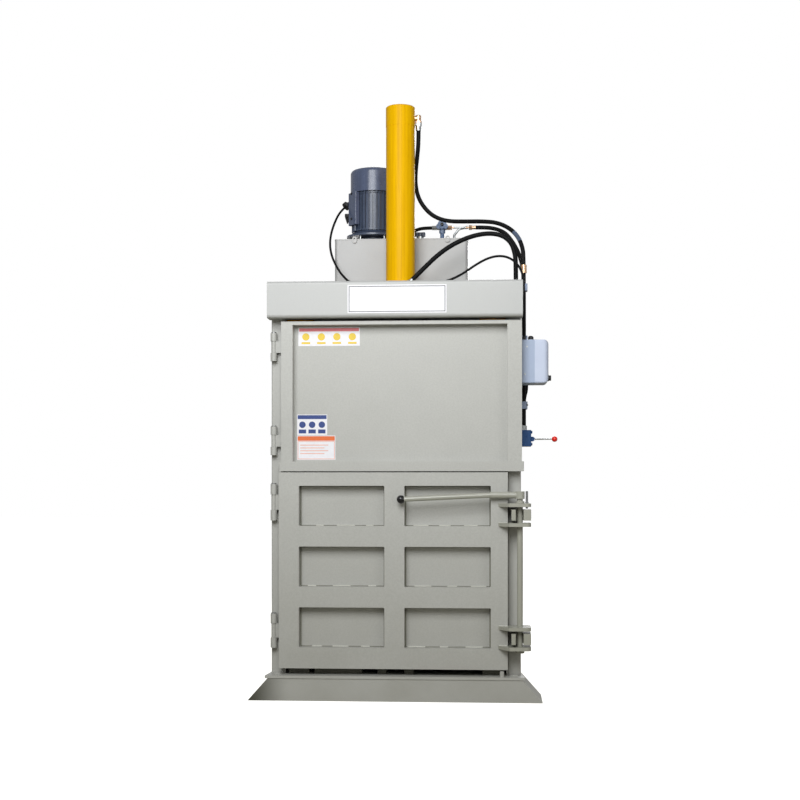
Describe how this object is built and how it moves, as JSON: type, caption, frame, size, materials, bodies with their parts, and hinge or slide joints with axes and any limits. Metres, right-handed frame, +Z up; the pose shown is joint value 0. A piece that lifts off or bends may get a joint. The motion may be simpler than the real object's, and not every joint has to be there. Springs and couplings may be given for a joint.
{
  "type": "recycling baler",
  "caption": "Upright hydraulic baler: steel chamber with side-hung doors and a rod lock, ram cylinder on the head, motor and oil tank behind it, hoses down the right side",
  "frame": {"origin": "on the floor under the ram's axis, at the middle of the body's width and depth", "axes": "+Z up along the ram, -Y towards the doors, +X to the right of someone facing the doors"},
  "size_m": [1.4225, 0.898, 2.813],
  "materials": {
    "frame_paint": "satin warm grey machine paint",
    "door_paint": "satin warm grey machine paint",
    "head_paint": "satin light grey machine paint",
    "cylinder_paint": "gloss yellow paint",
    "press_paint": "satin orange-yellow paint",
    "tank_paint": "satin grey paint",
    "motor_paint": "blue-grey enamel",
    "valve_paint": "blue enamel",
    "bright_steel": "zinc plated",
    "rod_chrome": "hard chrome, polished",
    "turned_steel": "turned",
    "hose_rubber": "smooth black rubber cover",
    "cable_sheath": "smooth black sheath",
    "black_plastic": "moulded black plastic",
    "box_plastic": "grey-blue powder coat",
    "lid_plastic": "light grey moulded plastic",
    "red_plastic": "gloss red plastic",
    "black_ball": "gloss black plastic",
    "shoe_plastic": "green bearing plastic"
  },
  "bodies": {
    "base": {"front_foot": "frame_paint", "rear_foot": "frame_paint", "base_bearers": "frame_paint", "floor_plate": "frame_paint", "floor_bars": "turned_steel", "left_wall": "frame_paint", "right_wall": "frame_paint", "rear_wall": "frame_paint", "corner_posts": "frame_paint", "wall_ribs": "frame_paint", "service_plates": "frame_paint", "front_beam": "head_paint", "rear_beam": "head_paint", "head_plate": "frame_paint", "cylinder_tube": "cylinder_paint", "cylinder_cap": "cylinder_paint", "cylinder_gland": "turned_steel", "flange_bolts": "bright_steel", "hose_fittings": "bright_steel", "oil_tank": "tank_paint", "tank_lid": "tank_paint", "breather_pipe": "bright_steel", "relief_block": "valve_paint", "motor_housing": "motor_paint", "fan_cowl": "motor_paint", "motor_flange": "motor_paint", "terminal_box": "motor_paint", "cable_glands": "black_plastic", "pump_body": "turned_steel", "hose_top": "hose_rubber", "hose_bottom": "hose_rubber", "hose_pressure": "hose_rubber", "hose_pump": "hose_rubber", "motor_cable": "cable_sheath", "hose_clamps": "valve_paint", "control_box": "box_plastic", "control_box_lid": "lid_plastic", "valve_body": "valve_paint", "hinge_barrels": "frame_paint", "hinge_pins": "turned_steel", "lock_forks": "frame_paint"},
    "upper_door": {"upper_door_frame": "door_paint", "upper_door_panel": "door_paint"},
    "lower_door": {"lower_door_frame": "door_paint", "lower_door_panel": "door_paint", "lock_lugs": "door_paint"},
    "lock": {"lock_rod": "bright_steel", "lock_handle": "bright_steel", "handle_ball": "black_ball"},
    "pin": {"lock_pin": "turned_steel"},
    "press": {"platen": "press_paint", "ram_rod": "rod_chrome", "piston": "turned_steel", "guide_shoes": "shoe_plastic"},
    "rotor": {"motor_rotor": "turned_steel", "cooling_fan": "black_plastic"},
    "lever": {"valve_lever": "bright_steel", "lever_ball": "red_plastic"},
    "knob": {"control_knob": "black_plastic"},
    "cap": {"filler_cap": "motor_paint"}
  },
  "joints": [
    {"name": "upper_door_hinge", "type": "hinge", "parent": "base", "child": "upper_door", "pos_m": [-0.561, -0.37, 1.4], "axis": [0, 0, -1], "range_deg": [0, 120]},
    {"name": "lower_door_hinge", "type": "hinge", "parent": "base", "child": "lower_door", "pos_m": [-0.561, -0.37, 0.6], "axis": [0, 0, -1], "range_deg": [0, 120]},
    {"name": "lock_rod_turn", "type": "hinge", "parent": "lower_door", "child": "lock", "pos_m": [0.569, -0.436, 0.59], "axis": [0, 0, 1], "range_deg": [0, 100]},
    {"name": "lock_pin_lift", "type": "slide", "parent": "lower_door", "child": "pin", "axis": [0, 0, 1], "range_m": [0, 0.04]},
    {"name": "ram_stroke", "type": "slide", "parent": "base", "child": "press", "axis": [0, 0, -1], "range_m": [0, 0.7]},
    {"name": "motor_spin", "type": "hinge", "parent": "base", "child": "rotor", "pos_m": [-0.1505, 0.262, 2.35], "axis": [0, 0, 1], "continuous": true},
    {"name": "lever_tilt", "type": "hinge", "parent": "base", "child": "lever", "pos_m": [0.633, -0.146, 1.2], "axis": [0, 1, 0], "range_deg": [-20, 20], "stiffness_Nm_per_rad": 3},
    {"name": "knob_turn", "type": "hinge", "parent": "base", "child": "knob", "pos_m": [0.7015, -0.268, 1.4785], "axis": [1, 0, 0], "range_deg": [0, 90]},
    {"name": "filler_cap_lift", "type": "slide", "parent": "base", "child": "cap", "axis": [0, 0, 1], "range_m": [0, 0.03]}
  ]
}
